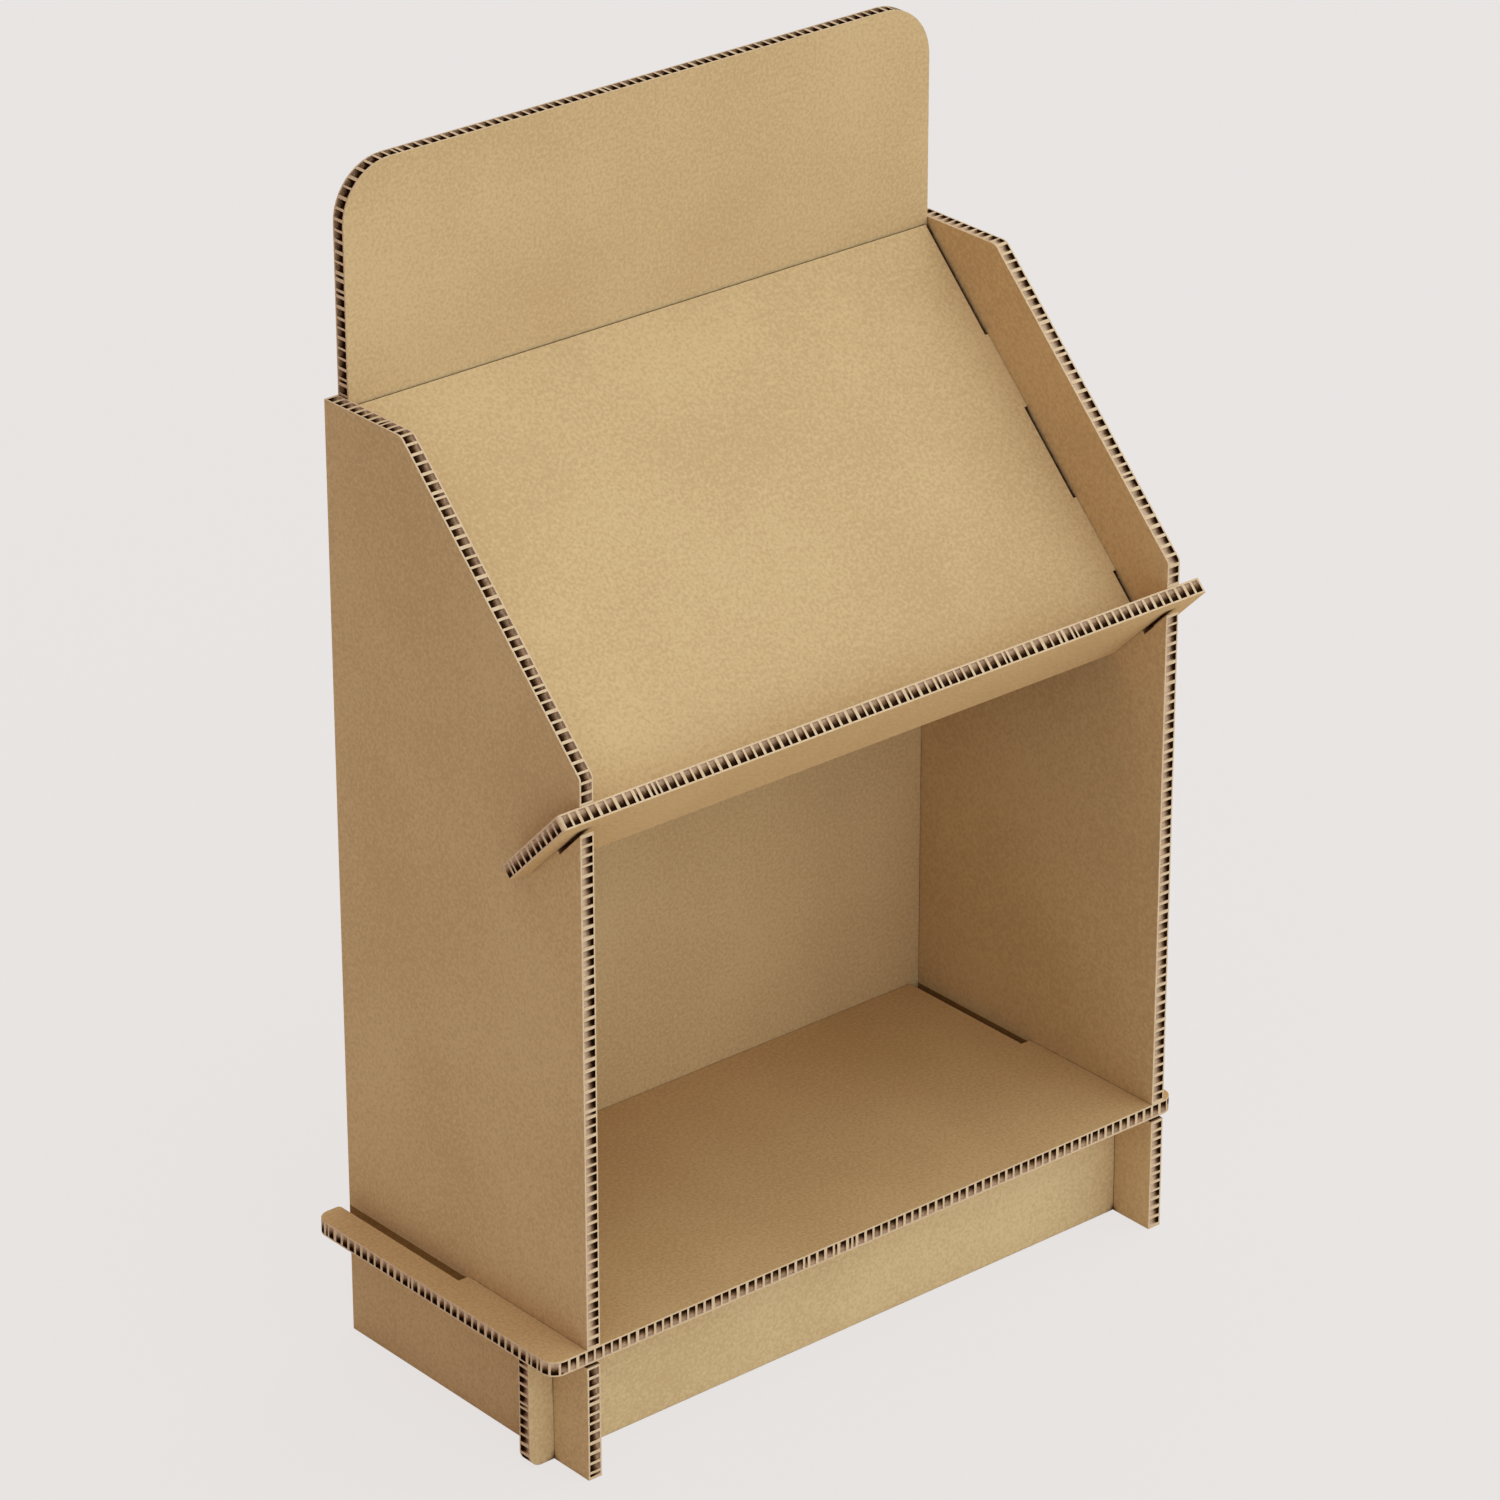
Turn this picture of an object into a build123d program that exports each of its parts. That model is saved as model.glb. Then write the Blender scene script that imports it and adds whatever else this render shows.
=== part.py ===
from build123d import *
import os
from math import atan2, cos, degrees, radians, sin, tan

# Slot-together display stand of honeycomb board, in millimetres
# X runs to the right, Y to the rear and Z up from the floor; the origin is midway between the side panels

# Board and joints
board = 16  # thickness of every panel
fit = 0.3  # clearance on each side of a cross joint
facing = 2.5  # thickness of the paper facing on each side of the honeycomb core
cell_side = 4  # length of one wall of a hexagonal cell

# Side panels
inner_width = 710  # clear width between the two side panels
depth = 366  # front edge to rear edge
side_height = 988
side_top_length = 114  # level stretch of the upper edge, behind the slope
slope = 45  # degrees, of the sloping edge and of the tray
knee_radius = 12
brow_radius = 6  # where the sloping edge meets the front edge

# Back panel and header
header_height = 1212  # floor to the header's top edge
header_radius = 56

# Kick board under the lower shelf
kick_length = 800
kick_height = 127
kick_setback = 52  # from the side panels' front edges
kick_radius = 14

# Lower shelf
shelf_length = 800
shelf_shift = 13  # the shelf sits this far to the left of centre
shelf_play = 12  # open gap in its slots, to the left of each side panel
shelf_radius = 15
tip_radius = 4  # the left wing's and the tongue's corners at the open ends of the slots
slot_play = 4  # open gap under the shelf in the side panels' slots
halving_offset = 4  # the cross joint lies this far in front of mid depth

# Sloping tray
tray_drop = 5  # its rear edge lies this far below the side panels' top edges
tray_gap = 4  # open gap beside the tray, between its tabs
tab_length = 82
rear_tab_inset = 128  # from the back panel down the slope to the rear tab
front_tab_inset = 47  # from the lip up the slope to the front tab
mortise_depth = 8

# Lip across the tray's lower edge
lip_length = 795
lip_above = 54  # height over the tray's upper face
lip_below = 62
lip_joint_depth = 63  # its slots end this far below its top edge
lip_play = 4.5  # open gap in front of the lip in the side panels' notches
lip_radius = 4

# Places that follow from those sizes
front = -depth / 2
rear = depth / 2
side_inner = inner_width / 2
side_outer = side_inner + board
side_middle = side_inner + board / 2
back_face = rear - board
knee = rear - side_top_length
front_height = side_height - (depth - side_top_length) * tan(radians(slope))
halving = -halving_offset
shelf_top = kick_height + board
kick_front = front + kick_setback
kick_rear = kick_front + board
kick_joint = kick_height / 2
rise = sin(radians(slope))
run = cos(radians(slope))
tray_height = side_height - tray_drop
lip_joint = lip_above - lip_joint_depth
# The lip's upper rear corner lies level with the side panels' front edges
tray_length = (back_face - front - lip_above * rise) / run
tab_starts = (rear_tab_inset, tray_length - front_tab_inset - tab_length)
# Far enough for the lip's notch to leave the front edge at any slope
notch_reach = lip_joint_depth + board
notch_top = tray_height - tray_length * rise + lip_above * run
notch_bottom = notch_top - (board + lip_play) / rise
# Fillets take this much off the straight edges beside the slope
knee_cut = knee_radius * tan(radians(slope / 2))
brow_cut = brow_radius * tan(radians((90 - slope) / 2))
core = board - 2 * facing
cell_pitch = 3 * cell_side  # cells that are cut through their middle lie one cell side apart

# The tray's upper face, its section in the plane of a side panel, and the lip's rear face
tray_face = Plane((0, back_face, tray_height), x_dir=(1, 0, 0), z_dir=(0, -rise, run))
tray_section = Plane((0, back_face, tray_height), x_dir=(0, run, rise), z_dir=(1, 0, 0))
lip_rear = Plane(
    (0, back_face - tray_length * run, tray_height - tray_length * rise),
    x_dir=(1, 0, 0),
    z_dir=(0, -run, -rise),
)

os.makedirs("parts", exist_ok=True)


def cells_between(start, end):
    """Places along a straight cut edge where it opens a cell, clear of the edge's two ends."""
    cut = Vector(end) - Vector(start)
    count = int((cut.length - cell_side) // cell_pitch)
    first = (cut.length - (count - 1) * cell_pitch) / 2
    turn = (0, 0, degrees(atan2(cut.Y, cut.X)))
    return [
        Location(Vector(start) + cut.normalized() * (first + number * cell_pitch), turn)
        for number in range(count)
    ]


def cells_round(centre, radius, start_angle):
    """Places of the cells round a quarter-circle corner, from start_angle in degrees."""
    count = int((radius * radians(90) - cell_side) // cell_pitch)
    angles = [start_angle + 90 * (number + 0.5) / count for number in range(count)]
    return [
        Location(Vector(centre) + Vector(radius, 0).rotate(Axis.Z, angle), (0, 0, angle + 90))
        for angle in angles
    ]


# Left side panel, with the slots for the shelf and the kick board, the lip's notch and the tray's mortises
with BuildPart() as left_side_panel:
    with BuildSketch(Plane.YZ.offset(-side_outer)) as side_profile:
        with BuildLine():
            Polyline(
                (rear, 0),
                (rear, side_height),
                (knee, side_height),
                (front, front_height),
                (front, 0),
                close=True,
            )
        make_face()
        fillet(side_profile.vertices().sort_by_distance((knee, side_height))[0], knee_radius)
        fillet(side_profile.vertices().sort_by_distance((front, front_height))[0], brow_radius)
        with Locations((front, shelf_top)):
            Rectangle(
                halving - front,
                board + slot_play,
                align=(Align.MIN, Align.MAX),
                mode=Mode.SUBTRACT,
            )
        with Locations((kick_front - fit, 0)):
            Rectangle(
                board + 2 * fit,
                kick_joint,
                align=(Align.MIN, Align.MIN),
                mode=Mode.SUBTRACT,
            )
    extrude(amount=board)
    with BuildSketch(tray_section.offset(-side_outer)):
        with Locations((-tray_length, lip_joint)):
            Rectangle(board + lip_play, notch_reach, align=(Align.MAX, Align.MIN))
    extrude(amount=board, mode=Mode.SUBTRACT)
    with BuildSketch(tray_section.offset(-side_inner)):
        for tab_start in tab_starts:
            with Locations((-tab_start + fit, fit)):
                Rectangle(tab_length + 2 * fit, board + fit, align=(Align.MAX, Align.MAX))
    extrude(amount=-mortise_depth, mode=Mode.SUBTRACT)
    with BuildSketch(Plane.YZ.offset(-side_outer + facing)):
        with Locations(
            *cells_between((front, 0), (front, shelf_top - board - slot_play)),
            *cells_between((front, shelf_top), (front, notch_bottom)),
            *cells_between((front, notch_top), (front, front_height - brow_cut)),
            *cells_between(
                (front + brow_cut * run, front_height + brow_cut * rise),
                (knee - knee_cut * run, side_height - knee_cut * rise),
            ),
            *cells_between((knee + knee_cut, side_height), (rear, side_height)),
            *cells_between((rear, side_height), (rear, 0)),
        ):
            RegularPolygon(radius=cell_side, side_count=6)
    extrude(amount=core, mode=Mode.SUBTRACT)
left_side_panel.part.label = "left_side_panel"
export_step(left_side_panel.part, "parts/left_side_panel.step")

# Right side panel, the same board turned over
with BuildPart() as right_side_panel:
    mirror(left_side_panel.part, about=Plane.YZ)
right_side_panel.part.label = "right_side_panel"
export_step(right_side_panel.part, "parts/right_side_panel.step")

# Back panel, which rises above the sides as a header
with BuildPart() as back_panel:
    with BuildSketch(Plane.XZ.offset(-rear)) as back_profile:
        Rectangle(inner_width, header_height, align=(Align.CENTER, Align.MIN))
        fillet(back_profile.vertices().group_by(Axis.Y)[-1], header_radius)
    extrude(amount=board)
    header_side = inner_width / 2
    header_bend = header_height - header_radius
    with BuildSketch(Plane.XZ.offset(-rear + facing)):
        with Locations(
            *cells_between((header_side, side_height), (header_side, header_bend)),
            *cells_round((header_side - header_radius, header_bend), header_radius, 0),
            *cells_between(
                (header_side - header_radius, header_height),
                (header_radius - header_side, header_height),
            ),
            *cells_round((header_radius - header_side, header_bend), header_radius, 90),
            *cells_between((-header_side, header_bend), (-header_side, side_height)),
        ):
            RegularPolygon(radius=cell_side, side_count=6)
    extrude(amount=core, mode=Mode.SUBTRACT)
back_panel.part.label = "back_panel"
export_step(back_panel.part, "parts/back_panel.step")

# Sloping tray, with two tabs in each side panel and its rear edge cut to lie on the back panel
with BuildPart() as tray:
    with BuildSketch(tray_face):
        with Locations((0, board)):
            Rectangle(
                inner_width - 2 * tray_gap,
                board + tray_length,
                align=(Align.CENTER, Align.MAX),
            )
        for tab_start in tab_starts:
            with Locations((0, -tab_start)):
                Rectangle(
                    inner_width + 2 * (mortise_depth - fit),
                    tab_length,
                    align=(Align.CENTER, Align.MAX),
                )
    extrude(amount=-board)
    split(bisect_by=Plane.XZ.offset(-back_face), keep=Keep.TOP)
tray.part.label = "tray"
export_step(tray.part, "parts/tray.step")

# Lip, square to the tray, slotted from below over both side panels
with BuildPart() as front_lip:
    with BuildSketch(lip_rear) as lip_profile:
        with Locations((0, lip_above)):
            Rectangle(lip_length, lip_above + lip_below, align=(Align.CENTER, Align.MAX))
        fillet(lip_profile.vertices(), lip_radius)
        with Locations((-side_middle, lip_joint), (side_middle, lip_joint)):
            Rectangle(
                board + 2 * fit,
                lip_joint + lip_below,
                align=(Align.CENTER, Align.MAX),
                mode=Mode.SUBTRACT,
            )
    extrude(amount=board)
    lip_end = lip_length / 2
    with BuildSketch(lip_rear.offset(facing)):
        with Locations(
            *cells_between((lip_end, lip_radius - lip_below), (lip_end, lip_above - lip_radius)),
            *cells_between((lip_end - lip_radius, lip_above), (lip_radius - lip_end, lip_above)),
            *cells_between((-lip_end, lip_above - lip_radius), (-lip_end, lip_radius - lip_below)),
        ):
            RegularPolygon(radius=cell_side, side_count=6)
    extrude(amount=core, mode=Mode.SUBTRACT)
front_lip.part.label = "front_lip"
export_step(front_lip.part, "parts/front_lip.step")

# Lower shelf, slotted from the rear over both side panels, with a tongue up to the back panel
slot_lefts = (-side_outer - shelf_play, side_inner - shelf_play)
slot_width = shelf_play + board + fit
with BuildPart() as lower_shelf:
    with BuildSketch(Plane.XY.offset(kick_height)) as shelf_outline:
        with Locations((-shelf_shift, 0)):
            Rectangle(shelf_length, depth)
        fillet(shelf_outline.vertices(), shelf_radius)
        for slot_left in slot_lefts:
            with Locations((slot_left, halving)):
                Rectangle(
                    slot_width,
                    rear - halving,
                    align=(Align.MIN, Align.MIN),
                    mode=Mode.SUBTRACT,
                )
        with Locations((0, back_face)):
            Rectangle(inner_width, board, align=(Align.CENTER, Align.MIN), mode=Mode.SUBTRACT)
        tips = (
            (slot_lefts[0], rear),
            (slot_lefts[0] + slot_width, back_face),
            (slot_lefts[1], back_face),
        )
        fillet([shelf_outline.vertices().sort_by_distance(tip)[0] for tip in tips], tip_radius)
    extrude(amount=board)
    shelf_left = -shelf_shift - shelf_length / 2
    shelf_right = shelf_left + shelf_length
    with BuildSketch(Plane.XY.offset(kick_height + facing)):
        with Locations(
            *cells_between((shelf_left, rear - shelf_radius), (shelf_left, front + shelf_radius)),
            *cells_between((shelf_left + shelf_radius, front), (shelf_right - shelf_radius, front)),
            *cells_between((shelf_right, front + shelf_radius), (shelf_right, rear - shelf_radius)),
        ):
            RegularPolygon(radius=cell_side, side_count=6)
    extrude(amount=core, mode=Mode.SUBTRACT)
lower_shelf.part.label = "lower_shelf"
export_step(lower_shelf.part, "parts/lower_shelf.step")

# Kick board, slotted from above over both side panels and carrying the shelf
with BuildPart() as kick_board:
    with BuildSketch(Plane.XZ.offset(-kick_rear)) as kick_profile:
        Rectangle(kick_length, kick_height, align=(Align.CENTER, Align.MIN))
        fillet(kick_profile.vertices().group_by(Axis.Y)[0], kick_radius)
        with Locations((-side_middle, kick_joint), (side_middle, kick_joint)):
            Rectangle(
                board + 2 * fit,
                kick_height - kick_joint,
                align=(Align.CENTER, Align.MIN),
                mode=Mode.SUBTRACT,
            )
    extrude(amount=board)
    kick_end = kick_length / 2
    with BuildSketch(Plane.XZ.offset(-kick_rear + facing)):
        with Locations(
            *cells_between((kick_end, kick_radius), (kick_end, kick_height)),
            *cells_between((-kick_end, kick_height), (-kick_end, kick_radius)),
        ):
            RegularPolygon(radius=cell_side, side_count=6)
    extrude(amount=core, mode=Mode.SUBTRACT)
kick_board.part.label = "kick_board"
export_step(kick_board.part, "parts/kick_board.step")
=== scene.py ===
"""Dresses the slot-together display stand: kraft-faced honeycomb boards in a plain studio.

Each board is built over its CAD solid, from that solid's own outline, with the honeycomb core
laid open along every cut edge. Lengths are in metres, and sizes that a maker would give in
millimetres are written with MM.
"""

import logging
import math
import random
from dataclasses import dataclass, field
from enum import Enum, IntEnum
from typing import Any, Iterator

import bmesh
import bpy
import numpy as np
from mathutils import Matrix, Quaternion, Vector


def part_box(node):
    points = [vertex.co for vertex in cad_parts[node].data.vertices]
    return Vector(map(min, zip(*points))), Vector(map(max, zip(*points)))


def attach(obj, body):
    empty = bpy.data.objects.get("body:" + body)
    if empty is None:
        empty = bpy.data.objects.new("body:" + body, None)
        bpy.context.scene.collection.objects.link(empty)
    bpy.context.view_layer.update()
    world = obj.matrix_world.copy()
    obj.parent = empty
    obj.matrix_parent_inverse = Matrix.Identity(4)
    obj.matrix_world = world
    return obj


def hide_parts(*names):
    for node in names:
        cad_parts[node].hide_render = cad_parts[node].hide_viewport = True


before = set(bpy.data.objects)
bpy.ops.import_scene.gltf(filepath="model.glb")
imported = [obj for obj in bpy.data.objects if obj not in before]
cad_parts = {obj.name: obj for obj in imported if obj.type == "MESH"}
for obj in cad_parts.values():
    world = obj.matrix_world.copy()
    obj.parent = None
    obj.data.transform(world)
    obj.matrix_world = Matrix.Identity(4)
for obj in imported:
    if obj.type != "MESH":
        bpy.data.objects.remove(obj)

Triple = tuple[float, float, float]
Light = tuple[float, float, float, float]
Cell = list[Vector]

MM = 0.001
ROOT = "root"

FACING = 1.8 * MM
THICKNESS = 16.0 * MM
SAME_PLACE = 0.01 * MM
NEAR = 1.0 * MM
SAME_WAY = 0.99
MIDDLE = 0.5
FAR_LOW: Triple = (-1.0, -1.0, -1.0)
FAR_HIGH: Triple = (1.0, 1.0, 2.0)
ROUGHNESS_SPREAD = 0.1
BULGE_STEPS = 6
MOUTH_CORNERS = 2
BACK_CORNER = 3

log = logging.getLogger("display_stand")


class Liner(Enum):
    """The two facings of a board, as heights through it."""

    OUTER = 0.0
    INNER = 1.0


class Mark(Enum):
    """What each vertex of a board is marked with, by attribute name."""

    DEPTH = "cell_depth"
    HEIGHT = "ply_height"
    SHADE = "cell_shade"


class Surface(IntEnum):
    """The finishes on a board, in the order of its material slots."""

    FACING = 0
    CUT_EDGE = 1
    CELL_WALL = 2
    # Darker paper, painted as shade inside the shelf's slots.
    JOINT_SHADE = 3


class MixSocket(IntEnum):
    """The colour sockets of a Mix node: three inputs and the output."""

    SHARE = 0
    FIRST = 6
    SECOND = 7
    RESULT = 2


@dataclass(frozen=True)
class Colour:
    """A colour as it is seen on a screen, in steps from 0 to 255."""

    red: int
    green: int
    blue: int

    def linear(self) -> Light:
        """The colour in linear light, with full alpha."""
        steps = (self.red / 255, self.green / 255, self.blue / 255)
        light = [s / 12.92 if s <= 0.04045 else ((s + 0.055) / 1.055) ** 2.4 for s in steps]
        return light[0], light[1], light[2], 1.0


@dataclass(frozen=True)
class Grain:
    """The look of a random tone: its cycles to the metre, its finer layers and their strength."""

    scale: float
    detail: float
    roughness: float = 0.5


@dataclass(frozen=True)
class Rise:
    """The two values between which a share goes from 0 to 1."""

    low: float
    high: float


class Value:
    """A number that changes over a surface, so that shader maths reads as Python maths."""

    def __init__(self, sheet: "NodeSheet", socket: bpy.types.NodeSocket) -> None:
        """Wraps one output socket of a node on a sheet."""
        self.sheet = sheet
        self.socket = socket

    def __add__(self, other: "Value | float") -> "Value":
        """This value plus another."""
        return self.sheet.maths("ADD", self, other)

    def __radd__(self, other: float) -> "Value":
        """A number plus this value."""
        return self.sheet.maths("ADD", other, self)

    def __sub__(self, other: "Value | float") -> "Value":
        """This value less another."""
        return self.sheet.maths("SUBTRACT", self, other)

    def __rsub__(self, other: float) -> "Value":
        """A number less this value."""
        return self.sheet.maths("SUBTRACT", other, self)

    def __mul__(self, other: "Value | float") -> "Value":
        """This value times another."""
        return self.sheet.maths("MULTIPLY", self, other)

    def __abs__(self) -> "Value":
        """This value without its sign."""
        return self.sheet.maths("ABSOLUTE", self, 0.0)


class NodeSheet:
    """The node tree of one material or of the world, and the one way that nodes are added to it."""

    # Painted shade in crevices: its samples, and the openness over which it fades.
    crevice_shade_samples = 8
    crevice_shade_openness = Rise(0.3, 0.54)

    def __init__(self, owner: bpy.types.Material | bpy.types.World) -> None:
        """Empties the owner's node tree, ready for new nodes."""
        owner.use_nodes = True
        self.tree = owner.node_tree
        self.tree.nodes.clear()

    def node(
        self,
        kind: str,
        settings: dict[str, Any] | None = None,
        inputs: dict[str | int, Any] | None = None,
        output: str | int = 0,
    ) -> Value:
        """Adds a node.

        Args:
            kind: the node's type, without the words ShaderNode.
            settings: the node's own properties, which are set first.
            inputs: values or links by socket name or number.
            output: the output socket that is wanted.

        Returns:
            The wanted output.
        """
        made = self.tree.nodes.new("ShaderNode" + kind)
        for name, setting in (settings or {}).items():
            setattr(made, name, setting)
        for name, given in (inputs or {}).items():
            if isinstance(given, Value):
                self.tree.links.new(given.socket, made.inputs[name])
            else:
                made.inputs[name].default_value = given
        return Value(self, made.outputs[output] if made.outputs else None)

    def maths(self, operation: str, first: Value | float, second: Value | float) -> Value:
        """Adds a Math node on two values."""
        return self.node("Math", {"operation": operation}, {0: first, 1: second})

    def place(self) -> Value:
        """Where a point of the surface is, in the piece's own coordinates."""
        return self.node("TexCoord", output="Object")

    def mark(self, mark: Mark) -> Value:
        """What the surface is marked with."""
        return self.node("Attribute", {"attribute_name": mark.value}, output="Fac")

    def noise(self, place: Value, grain: Grain) -> Value:
        """Smooth random tone from 0 to 1 over the surface."""
        inputs = {
            "Vector": place,
            "Scale": grain.scale,
            "Detail": grain.detail,
            "Roughness": grain.roughness,
        }
        return self.node("TexNoise", {"noise_dimensions": "3D"}, inputs, "Fac")

    def between(self, share: Value, rise: Rise) -> Value:
        """A value's rise from 0 to 1, eased at both ends."""
        inputs = {"Value": share, "From Min": rise.low, "From Max": rise.high}
        return self.node("MapRange", {"interpolation_type": "SMOOTHSTEP"}, inputs)

    def tint(self, share: Value, first: Any, second: Any, blend: str = "MIX") -> Value:
        """A colour that goes from the first to its blend with the second, as a share rises."""
        settings = {"data_type": "RGBA", "blend_type": blend}
        inputs = {MixSocket.SHARE: share, MixSocket.FIRST: first, MixSocket.SECOND: second}
        return self.node("Mix", settings, inputs, MixSocket.RESULT)

    def paint_crevice_shade(self, colour: Value, reach: float, shade: Any) -> Value:
        """Paints shade into a colour where other paper stands close in front of it, as in gaps and
        seams.

        Args:
            colour: the open surface's colour.
            reach: how near that paper has to be.
            shade: what the colour is multiplied by deep in a gap.

        Returns:
            The colour with its painted shade.
        """
        settings = {"samples": self.crevice_shade_samples}
        free = self.node("AmbientOcclusion", settings, {"Distance": reach}, "AO")
        closed = 1.0 - self.between(free, self.crevice_shade_openness)
        return self.tint(closed, colour, shade, "MULTIPLY")

    def bump(self, height: Value, depth: float, strength: float) -> Value:
        """The surface's direction with a fine relief."""
        inputs = {"Strength": strength, "Distance": depth, "Height": height}
        return self.node("Bump", inputs=inputs)

    def matt(self, colour: Value, roughness: Value, normal: Value) -> None:
        """Ends the sheet in a matt paper surface with this colour, roughness and relief."""
        inputs = {
            "Base Color": colour,
            "Roughness": roughness,
            "Normal": normal,
            "Specular IOR Level": 0.0,
        }
        paper = self.node("BsdfPrincipled", inputs=inputs)
        self.node("OutputMaterial", inputs={"Surface": paper})

    def seen(self) -> Value:
        """1 for what the camera sees, straight, in a gloss or through glass, and 0 for light."""
        straight = self.node("LightPath", output="Is Camera Ray")
        gloss = self.node("LightPath", output="Is Glossy Ray")
        clear = self.node("LightPath", output="Is Transmission Ray")
        return self.maths("MAXIMUM", straight, self.maths("MAXIMUM", gloss, clear))


@dataclass(frozen=True)
class KraftFacing:
    """Unprinted kraft paper: a matt tan with a fine, even mottling, and painted shade in gaps."""

    name: str = "kraft_facing"
    pale: Colour = Colour(211, 177, 128)
    deep: Colour = Colour(196, 160, 113)
    # Painted shade: the colour that gaps and seams darken towards, and how near paper must be.
    crevice_shade: Colour = Colour(96, 52, 18)
    crevice_shade_reach: float = 12.0 * MM
    clouds: Grain = Grain(6.0, 2.0)
    mottle: Grain = Grain(300.0, 3.0, 0.55)
    grit: Grain = Grain(1100.0, 2.0)
    cloud_share: float = 0.3
    mottle_share: float = 0.7
    tones: Rise = Rise(0.36, 0.64)
    mottle_relief: float = 0.5
    grit_relief: float = 0.5
    bump_depth: float = 0.08 * MM
    bump_strength: float = 0.3
    roughness: float = 0.84

    def material(self) -> bpy.types.Material:
        """Makes the paper."""
        made = bpy.data.materials.new(self.name)
        sheet = NodeSheet(made)
        place = sheet.place()
        clouds = sheet.noise(place, self.clouds)
        mottle = sheet.noise(place, self.mottle)
        grit = sheet.noise(place, self.grit)
        tone = sheet.between(clouds * self.cloud_share + mottle * self.mottle_share, self.tones)
        open_paper = sheet.tint(tone, self.deep.linear(), self.pale.linear())
        # Painted shade where other paper stands close.
        colour = sheet.paint_crevice_shade(open_paper, self.crevice_shade_reach, self.crevice_shade.linear())
        relief = mottle * self.mottle_relief + grit * self.grit_relief
        normal = sheet.bump(relief, self.bump_depth, self.bump_strength)
        sheet.matt(colour, self.roughness + mottle * ROUGHNESS_SPREAD, normal)
        return made


@dataclass(frozen=True)
class CutEdge:
    """The sawn edge of the board: the two facings' plies and the cut ends of the core's webs."""

    name: str = "cut_edge"
    pale: Colour = Colour(225, 195, 158)
    deep: Colour = Colour(205, 169, 128)
    glue_line: Colour = Colour(168, 126, 88)
    # Painted shade: the colour that the edge darkens towards in gaps, and how near paper must be.
    crevice_shade: Colour = Colour(96, 52, 18)
    crevice_shade_reach: float = 16.0 * MM
    rag: Grain = Grain(420.0, 4.0, 0.65)
    soil: Grain = Grain(60.0, 3.0)
    raggedness: float = 0.03
    plies: float = 26.0
    rag_share: float = 0.55
    soil_share: float = 0.25
    ply_share: float = 0.2
    tones: Rise = Rise(0.3, 0.68)
    glue_width: float = 0.02
    glue_strength: float = 0.35
    rag_relief: float = 0.7
    ply_relief: float = 0.3
    bump_depth: float = 0.25 * MM
    bump_strength: float = 0.5
    roughness: float = 0.88

    def material(self) -> bpy.types.Material:
        """Makes the edge, whose plies follow the height through the board."""
        made = bpy.data.materials.new(self.name)
        sheet = NodeSheet(made)
        place = sheet.place()
        rag = sheet.noise(place, self.rag)
        soil = sheet.noise(place, self.soil)
        ragged = abs(sheet.mark(Mark.HEIGHT) - MIDDLE) + (rag - MIDDLE) * self.raggedness
        ply = sheet.maths("PINGPONG", ragged * self.plies, 1.0)
        mixed = rag * self.rag_share + soil * self.soil_share + ply * self.ply_share
        tone = sheet.between(mixed, self.tones)
        ground = sheet.tint(tone, self.deep.linear(), self.pale.linear())
        from_glue = abs(ragged - (MIDDLE - FACING / THICKNESS))
        glue = 1.0 - sheet.between(from_glue, Rise(0.0, self.glue_width))
        open_edge = sheet.tint(glue * self.glue_strength, ground, self.glue_line.linear())
        # Painted shade where other paper stands close.
        colour = sheet.paint_crevice_shade(open_edge, self.crevice_shade_reach, self.crevice_shade.linear())
        relief = rag * self.rag_relief + ply * self.ply_relief
        normal = sheet.bump(relief, self.bump_depth, self.bump_strength)
        sheet.matt(colour, self.roughness + rag * ROUGHNESS_SPREAD, normal)
        return made


@dataclass(frozen=True)
class CellWall:
    """The paper inside the core: lit near one facing, in shade near the other and at the back."""

    name: str = "cell_wall"
    lit: Colour = Colour(224, 192, 160)
    middle: Colour = Colour(160, 118, 82)
    dark: Colour = Colour(46, 24, 10)
    rag: Grain = Grain(300.0, 3.0, 0.6)
    raggedness: float = 0.3
    dimming: Rise = Rise(0.15, 0.55)
    darkening: Rise = Rise(0.35, 0.72)
    deepening: Rise = Rise(0.2, 1.2)
    depth_share: float = 0.3
    bump_depth: float = 0.3 * MM
    bump_strength: float = 0.4
    roughness: float = 0.88

    def material(self) -> bpy.types.Material:
        """Makes the wall paper, whose tone follows the shade and the depth of the cell."""
        made = bpy.data.materials.new(self.name)
        sheet = NodeSheet(made)
        rag = sheet.noise(sheet.place(), self.rag)
        ragged = sheet.mark(Mark.SHADE) + (rag - MIDDLE) * self.raggedness
        dark = self.dark.linear()
        dimmed = sheet.between(ragged, self.dimming)
        first = sheet.tint(dimmed, self.lit.linear(), self.middle.linear())
        across = sheet.tint(sheet.between(ragged, self.darkening), first, dark)
        deep = sheet.between(sheet.mark(Mark.DEPTH), self.deepening)
        colour = sheet.tint(deep * self.depth_share, across, dark)
        normal = sheet.bump(rag, self.bump_depth, self.bump_strength)
        sheet.matt(colour, self.roughness + rag * ROUGHNESS_SPREAD, normal)
        return made


@dataclass(frozen=True)
class BoardPlane:
    """Where a board lies: its outer face, and two directions along it."""

    outward: Vector
    along: Vector
    face: float
    thickness: float

    @property
    def up(self) -> Vector:
        """The second direction along the face."""
        return self.outward.cross(self.along)

    def flat(self, point: Vector) -> Vector:
        """A point of the board as two lengths along its face."""
        return Vector((point.dot(self.along), point.dot(self.up)))

    def solid(self, point: Vector, below: float) -> Vector:
        """A point of the face, taken a length below it into the board."""
        return self.along * point.x + self.up * point.y + self.outward * (self.face - below)


@dataclass(frozen=True)
class Region:
    """An upright box in the stand's frame."""

    low: Triple = FAR_LOW
    high: Triple = FAR_HIGH

    def holds(self, places: np.ndarray) -> np.ndarray:
        """Which of some places lie in the box."""
        return ((places > np.array(self.low)) & (places < np.array(self.high))).all(axis=1)


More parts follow.
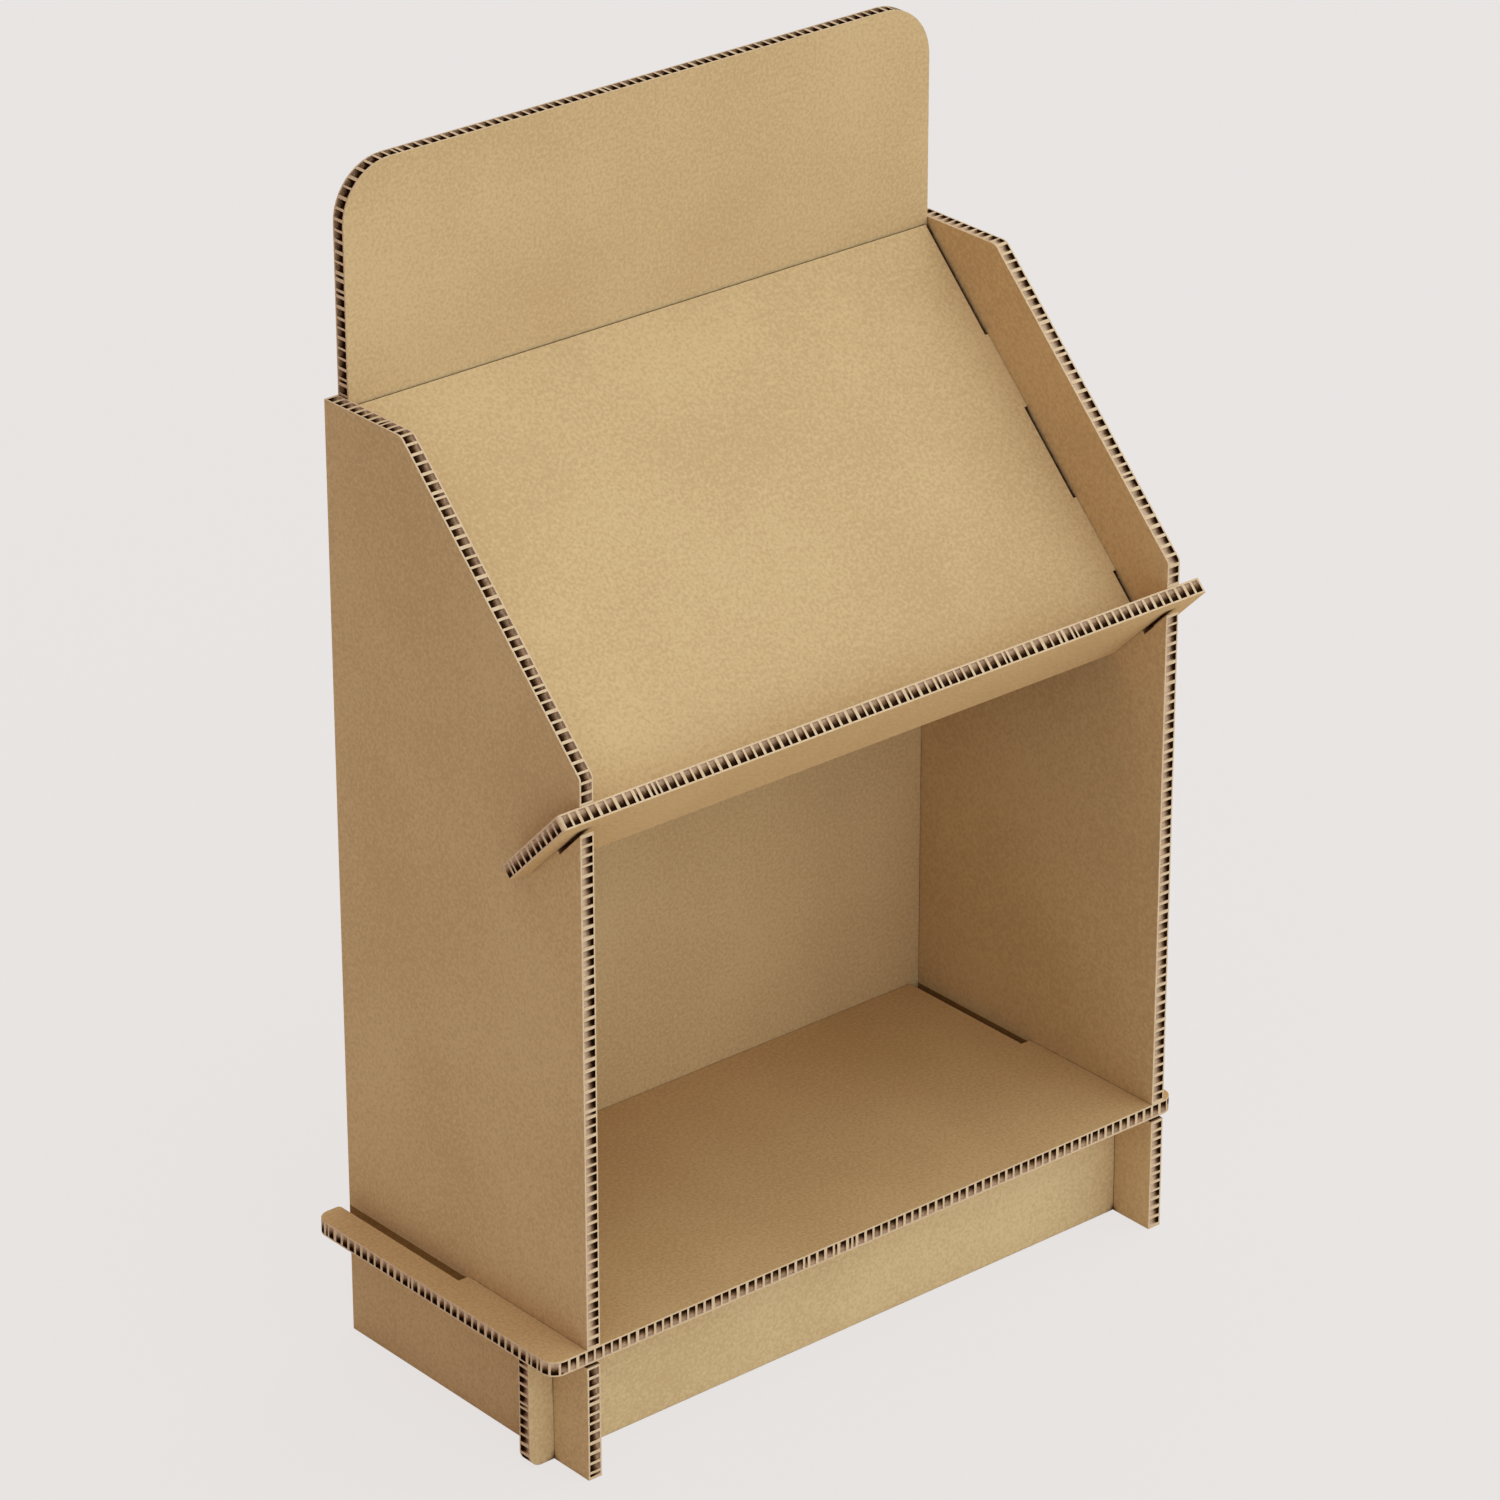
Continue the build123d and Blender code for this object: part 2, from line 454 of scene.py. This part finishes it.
@dataclass
class EdgeRun:
    """A stretch of a board's outline between two sharp corners, with the board on its left."""

    points: list[Vector]
    in_slot: bool

    def __post_init__(self) -> None:
        """Measures the run."""
        self.steps = [b - a for a, b in zip(self.points, self.points[1:])]
        self.length = sum(step.length for step in self.steps)

    def at(self, way: float) -> tuple[Vector, Vector]:
        """Finds a place on the run.

        Args:
            way: the length along the run.

        Returns:
            The point there, and the direction from it into the board.
        """
        for start, step in zip(self.points, self.steps):
            if way <= step.length or step is self.steps[-1]:
                ahead = step.normalized()
                return start + ahead * way, Vector((-ahead.y, ahead.x))
            way -= step.length
        raise ValueError("an edge run has no steps")

    def bulge(self, start: float, end: float) -> float:
        """How far the run stands out past the straight line between two places on it."""
        first, last = self.at(start)[0], self.at(end)[0]
        ahead = (last - first).normalized()
        out = Vector((ahead.y, -ahead.x))
        ways = [start + (end - start) * k / BULGE_STEPS for k in range(BULGE_STEPS + 1)]
        return max((self.at(way)[0] - first).dot(out) for way in ways)


def apart(first: Cell, second: Cell) -> bool:
    """Whether two convex shapes in the plane have a straight line between them."""
    for shape in (first, second):
        for a, b in zip(shape, shape[1:] + shape[:1]):
            side = Vector((b.y - a.y, a.x - b.x))
            ours = [p.dot(side) for p in first]
            theirs = [p.dot(side) for p in second]
            if max(ours) < min(theirs) or max(theirs) < min(ours):
                return True
    return False


@dataclass
class CoreCells:
    """The honeycomb core's cells where the saw has opened them, and no two are quite alike.

    The spreads, the lean and the narrow cells' width are shares of the usual size. The tries are
    the shares of its full depth that a cell is tried at until it fits.
    """

    pitch: float = 10.2 * MM
    web: float = 2.8 * MM
    depth: float = 4.4 * MM
    narrow_share: float = 0.06
    narrow: float = 0.42
    least_depth: float = 1.2 * MM
    least_wall: float = 1.4 * MM
    overrun: float = 1.2 * MM
    width_spread: tuple[float, float] = (0.93, 1.07)
    web_spread: tuple[float, float] = (0.75, 1.3)
    depth_spread: tuple[float, float] = (0.7, 1.0)
    lean_spread: tuple[float, float] = (-0.09, 0.09)
    shoulder: float = 0.72
    back_lean: float = 1.3
    tries: tuple[float, ...] = (1.0, 0.75, 0.55, 0.4, 0.3)
    neighbour_depths: float = 4.0

    def spans(self, length: float, chance: random.Random) -> list[tuple[float, float]]:
        """Shares a run out between webs and cells.

        Args:
            length: the run's length.
            chance: the board's own seeded chance.

        Returns:
            Where each cell starts and ends along the run.
        """
        webs, cells = [self.web], []
        while sum(webs) + sum(cells) < length - self.pitch / 2:
            wide = (self.pitch - self.web) * chance.uniform(*self.width_spread)
            cells.append(wide * self.narrow if chance.random() < self.narrow_share else wide)
            webs.append(self.web * chance.uniform(*self.web_spread))
        stretch = length / (sum(webs) + sum(cells))
        spans, way = [], 0.0
        for web, cell in zip(webs, cells):
            start = way + web * stretch
            way = start + cell * stretch
            spans.append((start, way))
        return spans

    def shape(self, run: EdgeRun, span: tuple[float, float], depth: float, lean: float) -> Cell:
        """Draws one cell in the board's plane.

        Args:
            run: the edge that opens the cell.
            span: where the cell starts and ends along it.
            depth: how far the cell goes into the board.
            lean: how far its walls lean along the edge.

        Returns:
            The mouth's two corners just outside the edge, the first shoulder, the point at the
            back and the other shoulder.
        """
        start, end = span
        out = self.overrun + run.bulge(start, end)
        ways = [start, end, end, (start + end) / 2, start]
        reaches = [-out, -out, depth * self.shoulder, depth, depth * self.shoulder]
        slides = [0.0, 0.0, lean, lean * self.back_lean, lean]
        return [
            point + inward * reach + Vector((inward.y, -inward.x)) * slide
            for (point, inward), reach, slide in zip(map(run.at, ways), reaches, slides)
        ]

    def draw(self, rim: "Rim", chance: random.Random) -> list[Cell]:
        """Draws every cell of a board.

        Args:
            rim: the board's edges with an open core.
            chance: the board's own seeded chance.

        Returns:
            The cells' shapes, none of which meets another.
        """
        drawn: list[Cell] = []
        for run in rim.runs:
            for span in self.spans(run.length, chance):
                full = self.depth * chance.uniform(*self.depth_spread)
                lean = (span[1] - span[0]) * chance.uniform(*self.lean_spread)
                for share in self.tries:
                    depth = full * share
                    cell = self.shape(run, span, depth, lean * share)
                    if depth >= self.least_depth and self.fits(cell, drawn, rim):
                        drawn.append(cell)
                        break
        return drawn

    def fits(self, cell: Cell, drawn: list[Cell], rim: "Rim") -> bool:
        """Whether a cell leaves a wall to the open edges and meets no cell drawn before it."""
        if min(rim.distances(cell[MOUTH_CORNERS:])) < self.least_wall:
            return False
        reach = self.neighbour_depths * self.depth
        back = cell[BACK_CORNER]
        near = [other for other in drawn if (other[BACK_CORNER] - back).length < reach]
        return all(apart(cell, other) for other in near)


class Rim:
    """The edges of a board that lay its core open."""

    def __init__(self, runs: list[EdgeRun]) -> None:
        """Gathers the straight steps of the edges."""
        self.runs = runs
        self.starts = np.array([point[:] for run in runs for point in run.points[:-1]])
        self.steps = np.array([step[:] for run in runs for step in run.steps])

    def distances(self, points: list[Vector] | np.ndarray) -> np.ndarray:
        """How far each of some points of the plane is from the nearest open edge."""
        flat = np.array([point[:] for point in points])[:, None, :] - self.starts[None]
        share = (flat * self.steps).sum(2) / (self.steps**2).sum(1)
        offset = flat - np.clip(share, 0.0, 1.0)[..., None] * self.steps
        return np.sqrt((offset**2).sum(2)).min(1)


class Outline:
    """The edge of a board's outer face, taken from its CAD solid."""

    sharp = math.radians(50)
    small_step = 3.0 * MM
    small_rounding = 8.0 * MM
    flush = 2 * SAME_PLACE

    def __init__(self, node: str, outward: Vector) -> None:
        """Reads the outline.

        Args:
            node: the CAD solid's name.
            outward: the direction that the outer face looks.
        """
        self.mesh = bmesh.new()
        self.mesh.from_mesh(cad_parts[node].data)
        bmesh.ops.remove_doubles(self.mesh, verts=self.mesh.verts, dist=SAME_PLACE)
        heights = [vert.co.dot(outward) for vert in self.mesh.verts]
        along = Vector((0, 1, 0)) if abs(outward.x) > SAME_WAY else Vector((1, 0, 0))
        self.plane = BoardPlane(outward, along, max(heights), max(heights) - min(heights))
        hidden = [face for face in self.mesh.faces if not self.on_face(face)]
        bmesh.ops.delete(self.mesh, geom=hidden, context="FACES")
        bmesh.ops.dissolve_faces(self.mesh, faces=self.mesh.faces[:])
        self.mesh.faces.ensure_lookup_table()
        self.corners = [self.plane.flat(vert.co) for vert in self.mesh.faces[0].verts]

    def on_face(self, face: bmesh.types.BMFace) -> bool:
        """Whether a triangle of the solid lies in the board's outer face."""
        outward = self.plane.outward
        offsets = [abs(vert.co.dot(outward) - self.plane.face) for vert in face.verts]
        return max(offsets) < self.flush and face.normal.dot(outward) > SAME_WAY

    def turns(self, ahead: list[Vector]) -> list[int]:
        """Finds the outline's sharp corners.

        Args:
            ahead: the step from each corner to the next.

        Returns:
            The corners where the outline turns sharply, at a point or in the middle of a small
            rounding.
        """
        count = len(ahead)
        first = max(range(count), key=lambda k: ahead[k - 1].length)
        bends: list[list[int]] = []
        for k in (step % count for step in range(first, first + count)):
            if bends and ahead[k - 1].length < self.small_step:
                bends[-1].append(k)
            else:
                bends.append([k])
        return [
            bend[len(bend) // 2]
            for bend in bends
            if abs(sum(ahead[k - 1].angle_signed(ahead[k]) for k in bend)) > self.sharp
            and sum(ahead[k].length for k in bend[:-1]) < self.small_rounding
        ]

    def runs(self) -> Iterator[EdgeRun]:
        """Cuts the outline at its sharp corners and at the mouths of its slots.

        Yields:
            Each stretch between two cuts, in order.
        """
        count = len(self.corners)
        ahead = [self.corners[(k + 1) % count] - self.corners[k] for k in range(count)]
        corners = self.turns(ahead)
        hollow = {k for k in corners if ahead[k - 1].cross(ahead[k]) < 0}
        wall_ends = {(k + side) % count for k in hollow for side in (-1, 1)}
        cuts = sorted(wall_ends.union(corners)) or [0]
        for k, start in enumerate(cuts):
            end = cuts[k + 1] if k + 1 < len(cuts) else cuts[0] + count
            points = [self.corners[step % count] for step in range(start, end + 1)]
            yield EdgeRun(points, bool(hollow & {start, end % count}))


def thicken(mesh: bmesh.types.BMesh, way: Vector) -> None:
    """Draws every face of a mesh out into a closed solid."""
    drawn = bmesh.ops.extrude_face_region(mesh, geom=mesh.faces[:])["geom"]
    moved = [item for item in drawn if isinstance(item, bmesh.types.BMVert)]
    bmesh.ops.translate(mesh, verts=moved, vec=way)
    bmesh.ops.recalc_face_normals(mesh, faces=mesh.faces)


def saw(mesh: bmesh.types.BMesh, place: Any, across: Any, **cleared: bool) -> None:
    """Cuts a mesh along a plane.

    Args:
        mesh: the solid to cut.
        place: a point of the plane.
        across: the direction square to the plane.
        cleared: clear_inner or clear_outer, for the side to take away before the cut is closed.
    """
    everything = mesh.verts[:] + mesh.edges[:] + mesh.faces[:]
    bmesh.ops.bisect_plane(mesh, geom=everything, plane_co=place, plane_no=across, **cleared)
    if cleared:
        bmesh.ops.holes_fill(mesh, edges=[edge for edge in mesh.edges if edge.is_boundary])
        bmesh.ops.recalc_face_normals(mesh, faces=mesh.faces)


def solid_object(
    name: str, mesh: bmesh.types.BMesh, finishes: list[bpy.types.Material]
) -> bpy.types.Object:
    """Turns a bmesh into an object in the scene.

    Args:
        name: the object's name.
        mesh: its shape, which is freed.
        finishes: its materials.

    Returns:
        The object.
    """
    data = bpy.data.meshes.new(name)
    mesh.to_mesh(data)
    mesh.free()
    for finish in finishes:
        data.materials.append(finish)
    made = bpy.data.objects.new(name, data)
    bpy.context.scene.collection.objects.link(made)
    return made


@dataclass
class HoneycombBoard:
    """One panel of the stand: two kraft facings on a paper honeycomb core, sawn to an outline.

    The cells are in shade towards one liner. Gloom deepens that shade, and in the turned region
    light and shade change places.
    """

    node: str
    outward: Triple
    seed: int
    shaded: Liner = Liner.OUTER
    gloom: float = 0.0
    turned: Region | None = None
    paper: KraftFacing = KraftFacing()
    cells: CoreCells = field(default_factory=CoreCells)
    softened: float = 0.4 * MM
    shortest_run: float = 12.0 * MM

    def __post_init__(self) -> None:
        """Reads the panel's outline from its CAD solid."""
        self.outline = Outline(self.node, Vector(self.outward).normalized())
        self.plane = self.outline.plane
        self.rim = Rim(self.open_runs())

    def slab(self) -> bmesh.types.BMesh:
        """Raises the outline to the board's thickness and softens its rims.

        Returns:
            The closed board, with its facings and its cut edge told apart.
        """
        mesh = self.outline.mesh.copy()
        thicken(mesh, -self.plane.outward * self.plane.thickness)
        for face in mesh.faces:
            level = abs(face.normal.dot(self.plane.outward)) > SAME_WAY
            face.material_index = Surface.FACING if level else Surface.CUT_EDGE
        rims = [
            edge
            for edge in mesh.edges
            if len({face.material_index for face in edge.link_faces}) > 1
        ]
        bmesh.ops.bevel(
            mesh,
            geom=rims,
            offset=self.softened,
            affect="EDGES",
            segments=2,
            profile=0.5,
            material=-1,
            clamp_overlap=True,
        )
        return mesh

    def open_runs(self) -> list[EdgeRun]:
        """The edges that lay the core open: all but the shortest and the walls of the slots."""
        runs = self.outline.runs()
        return [run for run in runs if run.length >= self.shortest_run and not run.in_slot]

    def cutters(self) -> bmesh.types.BMesh:
        """Makes the shapes of the open cells, between the two facings.

        Returns:
            One closed prism for each cell.
        """
        mesh = bmesh.new()
        chance = random.Random(self.seed)
        for cell in self.cells.draw(self.rim, chance):
            mesh.faces.new([mesh.verts.new(self.plane.solid(point, FACING)) for point in cell])
        core = self.plane.thickness - 2 * FACING
        thicken(mesh, -self.plane.outward * core)
        for face in mesh.faces:
            face.material_index = Surface.CELL_WALL
        return mesh

    def carve(self, finishes: list[bpy.types.Material]) -> bpy.types.Mesh:
        """Cuts the cells out of the board.

        Args:
            finishes: the board's papers, in the order of Surface.

        Returns:
            The panel's finished mesh.
        """
        whole = solid_object(f"{self.node}_slab", self.slab(), finishes)
        cut = solid_object(f"{self.node}_cells", self.cutters(), finishes)
        step = whole.modifiers.new("open_cells", "BOOLEAN")
        step.operation = "DIFFERENCE"
        step.object = cut
        step.solver = "MANIFOLD"
        step.material_mode = "INDEX"
        bpy.context.view_layer.update()
        seen = whole.evaluated_get(bpy.context.evaluated_depsgraph_get())
        made = bpy.data.meshes.new_from_object(seen)
        for scrap in (whole, cut):
            bpy.data.objects.remove(scrap)
        return made

    def mark(self, mesh: bpy.types.Mesh) -> None:
        """Marks each vertex with its depth in a cell, its height in the board and its shade."""
        count = len(mesh.vertices)
        places = np.empty(count * 3, dtype=np.float32)
        mesh.vertices.foreach_get("co", places)
        places = places.reshape(count, 3)
        along, up = np.array(self.plane.along), np.array(self.plane.up)
        flat = np.stack([places @ along, places @ up], axis=1)
        below = self.plane.face - places @ np.array(self.plane.outward)
        depth = self.rim.distances(flat) / self.cells.depth
        height = below / self.plane.thickness
        shade = 1.0 - abs(height - self.shaded.value) + self.gloom
        if self.turned:
            shade = np.where(self.turned.holds(places), 1.0 - shade, shade)
        marks = {Mark.DEPTH: depth, Mark.HEIGHT: height, Mark.SHADE: shade}
        for mark, values in marks.items():
            layer = mesh.attributes.new(mark.value, "FLOAT", "POINT")
            layer.data.foreach_set("value", values.astype(np.float32))

    def build(self, finishes: list[bpy.types.Material]) -> bpy.types.Object:
        """Builds the panel, dresses it and puts it in the place of its CAD solid.

        Args:
            finishes: the board's papers, in the order of Surface.

        Returns:
            The panel.
        """
        mesh = self.carve(finishes)
        mesh.name = f"{self.node}_board"
        self.mark(mesh)
        piece = bpy.data.objects.new(f"{self.node}_board", mesh)
        bpy.context.scene.collection.objects.link(piece)
        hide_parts(self.node)
        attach(piece, ROOT)
        return piece


@dataclass
class SidePanel(HoneycombBoard):
    """An upright side, with blind mortises for the tray's tabs and bands that the shelf shades."""

    tabbed_node: str = "tray"
    mortise_play: float = 0.3 * MM
    shelf_node: str = "lower_shelf"
    joint_front: float = -4.0 * MM
    joint_edge: float = 3.0 * MM

    def slab(self) -> bmesh.types.BMesh:
        """Parts off and paints as shade the facings' band in the shelf's slots, where little light
        gets in.

        Returns:
            The closed board.
        """
        mesh = super().slab()
        low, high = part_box(self.shelf_node)
        band = Region(
            (FAR_LOW[0], self.joint_front, low[2]),
            (FAR_HIGH[0], FAR_HIGH[1], high[2] - self.joint_edge),
        )
        saw(mesh, band.low, (0, 1, 0))
        saw(mesh, band.low, (0, 0, 1))
        saw(mesh, band.high, (0, 0, 1))
        facings = [face for face in mesh.faces if face.material_index == Surface.FACING]
        inside = band.holds(np.array([face.calc_center_median() for face in facings]))
        # The band's faces take the darker paper: painted shade in the slot.
        for face, hidden in zip(facings, inside):
            if hidden:
                face.material_index = Surface.JOINT_SHADE
        return mesh

    def cutters(self) -> bmesh.types.BMesh:
        """Adds the mortises to the cells.

        Returns:
            The closed shapes that are cut out of the panel.
        """
        mesh = super().cutters()
        tabs = bmesh.new()
        tabs.from_mesh(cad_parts[self.tabbed_node].data)
        bmesh.ops.remove_doubles(tabs, verts=tabs.verts, dist=SAME_PLACE)
        short_of_face = self.plane.face - self.plane.thickness - NEAR
        outward = self.plane.outward
        saw(tabs, outward * short_of_face, outward, clear_inner=True)
        grown = [
            vert.co + vert.normal * vert.calc_shell_factor() * self.mortise_play
            for vert in tabs.verts
        ]
        for vert, place in zip(tabs.verts, grown):
            vert.co = place
        for face in tabs.faces:
            face.material_index = Surface.CUT_EDGE
        scrap = bpy.data.meshes.new("mortises")
        tabs.to_mesh(scrap)
        tabs.free()
        mesh.from_mesh(scrap)
        bpy.data.meshes.remove(scrap)
        return mesh


@dataclass
class Tray(HoneycombBoard):
    """The sloping tray, sawn upright along its rear edge, just clear of the back panel."""

    back_node: str = "back_panel"
    rear_play: float = 2.0 * MM

    def slab(self) -> bmesh.types.BMesh:
        """Trims the rear edge a little short of the back panel's front.

        Returns:
            The closed board.
        """
        mesh = super().slab()
        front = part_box(self.back_node)[0][1]
        saw(mesh, (0, front - self.rear_play, 0), (0, 1, 0), clear_outer=True)
        for face in mesh.faces:
            if face.normal.y > SAME_WAY:
                face.material_index = Surface.CUT_EDGE
        return mesh

    def open_runs(self) -> list[EdgeRun]:
        """The edges that lay the core open: not the rear one, which the back panel covers."""
        rear = max(corner.y for corner in self.outline.corners)
        return [
            run
            for run in self.outline.runs()
            if run.length >= self.shortest_run
            and min(point.y for point in run.points) < rear - NEAR
        ]


@dataclass
class DisplayStand:
    """The whole stand, of seven panels that slot together."""

    # Painted light: the light copy brightens the kick board.
    # Painted shade: the warm copy darkens and warms the lip and the shelf.
    shaded_warm: KraftFacing = KraftFacing(
        "kraft_facing_painted_shade", pale=Colour(210, 171, 120), deep=Colour(195, 154, 105)
    )
    light: KraftFacing = KraftFacing(
        "kraft_facing_painted_light", pale=Colour(218, 187, 139), deep=Colour(203, 169, 122)
    )
    # Painted shade: darker paper for the band inside the shelf's slots.
    joint_shade: KraftFacing = KraftFacing(
        "kraft_facing_joint_shade", pale=Colour(146, 106, 60), deep=Colour(132, 94, 50)
    )
    edge: CutEdge = CutEdge()
    wall: CellWall = CellWall()
    slope: float = math.sqrt(0.5)
    under_lip: Region = Region(low=(-1.0, -1.0, 0.145), high=(1.0, -0.17, 0.71))
    left_end: Region = Region(high=(-0.4, 1.0, 2.0))

    def panels(self) -> list[HoneycombBoard]:
        """The panels in the order that they are put together."""
        up, down = (0, -self.slope, self.slope), (0, -self.slope, -self.slope)
        shaded_warm, light = self.shaded_warm, self.light
        return [
            SidePanel("left_side_panel", (-1, 0, 0), 11, gloom=0.15, turned=self.under_lip),
            SidePanel("right_side_panel", (1, 0, 0), 12, gloom=-0.2),
            HoneycombBoard("back_panel", (0, -1, 0), 13, gloom=0.3),
            Tray("tray", up, 14),
            HoneycombBoard("front_lip", down, 15, gloom=0.05, paper=shaded_warm),
            HoneycombBoard(
                "lower_shelf", (0, 0, 1), 16, gloom=0.1, turned=self.left_end, paper=shaded_warm
            ),
            HoneycombBoard("kick_board", (0, -1, 0), 17, Liner.INNER, gloom=-0.1, paper=light),
        ]

    def build(self) -> list[bpy.types.Object]:
        """Builds and dresses every panel.

        Returns:
            The pieces.
        """
        panels = self.panels()
        # The plain paper and its copies with painted light and painted shade, each made once.
        lit_and_shaded_facings = dict.fromkeys(panel.paper for panel in panels)
        papers = {paper: paper.material() for paper in lit_and_shaded_facings}
        shared = [self.edge.material(), self.wall.material(), self.joint_shade.material()]
        return [panel.build([papers[panel.paper], *shared]) for panel in panels]


@dataclass
class Studio:
    """A pale floor under soft light, and the camera."""

    backdrop: Colour = Colour(232, 228, 225)
    floor_side: float = 12.0
    floor_look: Colour = Colour(233, 229, 227)
    floor_tone: Light = (0.82, 0.80, 0.78, 1.0)
    floor_share: float = 0.92
    floor_bounce: Light = (0.05, 0.05, 0.06, 1.0)
    sky: Light = (0.23, 0.08, 0.03, 1.0)
    key_from: Triple = (0.4, -0.6, 0.7)
    key_tint: Triple = (0.66, 0.88, 1.0)
    key_strength: float = 4.08
    key_angle: float = math.radians(150)
    aim: Triple = (0.1485663, 0.1929293, 0.4631773)
    azimuth: float = math.radians(-40.35871)
    elevation: float = math.radians(25.93810)
    roll: float = math.radians(-0.05069)
    distance: float = 6.500074
    focal_share: float = 6515.99 / 1500

    def floor(self) -> None:
        """Lays the floor, which keeps a faint shadow."""
        made = bpy.data.materials.new("pale_floor")
        sheet = NodeSheet(made)
        seen = sheet.seen()
        matt = sheet.node("BsdfDiffuse", inputs={"Color": self.floor_tone})
        glow = {"Color": self.floor_bounce, "Strength": 1.0 - seen}
        bounce = sheet.node("Emission", inputs=glow)
        lit = sheet.node("AddShader", inputs={0: matt, 1: bounce})
        look = {"Color": self.floor_look.linear(), "Strength": 1.0}
        plain = sheet.node("Emission", inputs=look)
        mixed = sheet.node("MixShader", inputs={0: seen * self.floor_share, 1: lit, 2: plain})
        sheet.node("OutputMaterial", inputs={"Surface": mixed})
        mesh = bmesh.new()
        bmesh.ops.create_grid(mesh, x_segments=1, y_segments=1, size=self.floor_side / 2)
        ground = solid_object("floor", mesh, [made])

    def light(self) -> None:
        """Sets the soft light from all round and the broad key light."""
        world = bpy.data.worlds.new("studio")
        sheet = NodeSheet(world)
        soft = sheet.node("Background", inputs={"Color": self.sky, "Strength": 1.0})
        look = {"Color": self.backdrop.linear(), "Strength": 1.0}
        plain = sheet.node("Background", inputs=look)
        mixed = sheet.node("MixShader", inputs={0: sheet.seen(), 1: soft, 2: plain})
        sheet.node("OutputWorld", inputs={"Surface": mixed})
        bpy.context.scene.world = world
        lamp = bpy.data.lights.new("key", "SUN")
        lamp.energy = self.key_strength
        lamp.color = self.key_tint
        lamp.angle = self.key_angle
        key = bpy.data.objects.new("key", lamp)
        key.rotation_euler = Vector(self.key_from).to_track_quat("Z", "Y").to_euler()
        bpy.context.scene.collection.objects.link(key)

    def camera(self) -> None:
        """Sets the camera at the photograph's viewing angle."""
        level = math.cos(self.elevation)
        back = Vector(
            (
                math.sin(self.azimuth) * level,
                -math.cos(self.azimuth) * level,
                math.sin(self.elevation),
            )
        )
        lens = bpy.data.cameras.new("camera")
        lens.sensor_width = 36.0
        lens.lens = self.focal_share * lens.sensor_width
        lens.clip_end = 100.0
        made = bpy.data.objects.new("camera", lens)
        made.location = Vector(self.aim) + back * self.distance
        turn = back.to_track_quat("Z", "Y") @ Quaternion((0, 0, 1), self.roll)
        made.rotation_euler = turn.to_euler()
        bpy.context.scene.collection.objects.link(made)
        bpy.context.scene.camera = made


def main() -> None:
    """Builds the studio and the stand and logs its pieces."""
    logging.basicConfig(level=logging.INFO, format="%(name)s %(message)s")
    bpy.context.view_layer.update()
    studio = Studio()
    studio.camera()
    studio.light()
    studio.floor()
    for piece in DisplayStand().build():
        log.info("%s: %d faces", piece.name, len(piece.data.polygons))
    bpy.context.scene.view_settings.view_transform = "Standard"
    bpy.context.view_layer.update()


if __name__ == "__main__":
    main()
